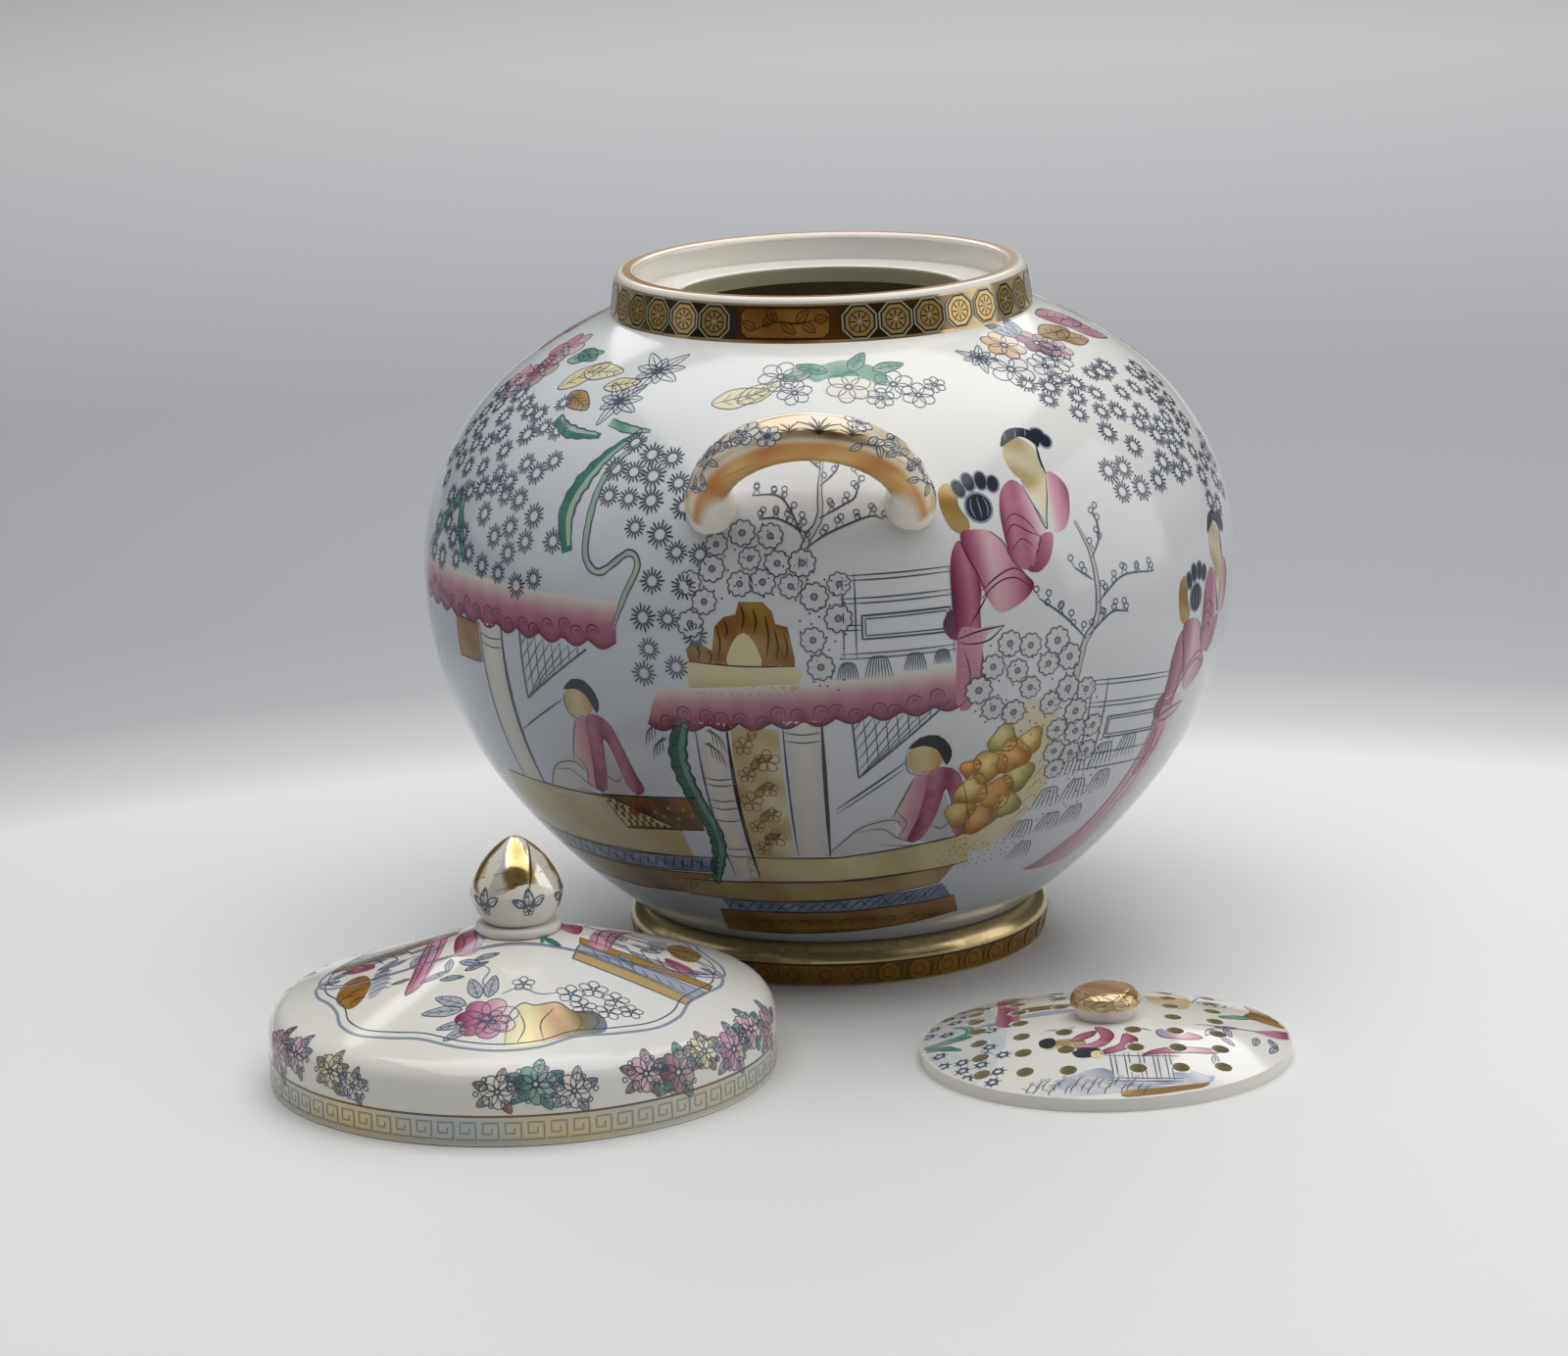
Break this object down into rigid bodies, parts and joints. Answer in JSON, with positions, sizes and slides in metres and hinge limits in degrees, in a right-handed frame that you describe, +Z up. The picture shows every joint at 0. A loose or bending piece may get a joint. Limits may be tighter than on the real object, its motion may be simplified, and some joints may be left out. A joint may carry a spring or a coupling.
{
  "type": "potpourri vase",
  "caption": "Globular footed potpourri vase with a short gilt neck, ring handles, a pierced inner plate and a domed outer cover with a bud finial.",
  "frame": {"origin": "on the vase's axis, in the plane of the table that the foot and both covers rest on", "axes": "+Z up along the vase's axis; -Y towards the viewer, to the side of the front handle and the two covers; +X to the viewer's right"},
  "size_m": [0.3297, 0.39, 0.235],
  "materials": {
    "white_glaze": "glossy warm white glaze over a fine printed and enamelled pattern",
    "gilt_glaze": "worn gilding over a brown and white glaze"
  },
  "bodies": {
    "vase": {"bowl": "white_glaze", "neck_ring": "gilt_glaze", "foot_ring": "gilt_glaze", "front_handle": "gilt_glaze", "rear_handle": "gilt_glaze"},
    "outer_cover": {"cover_dome": "white_glaze", "cover_finial": "gilt_glaze"},
    "pierced_cover": {"pierced_plate": "white_glaze", "plate_knob": "gilt_glaze"}
  },
  "joints": [
    {"name": "outer_cover_lift", "type": "slide", "parent": "vase", "child": "outer_cover", "axis": [-0.3944, -0.5869, 0.7071], "range_m": [0, 0.2]},
    {"name": "pierced_cover_lift", "type": "slide", "parent": "vase", "child": "pierced_cover", "axis": [0.333, -0.6238, 0.7071], "range_m": [0, 0.2]}
  ]
}
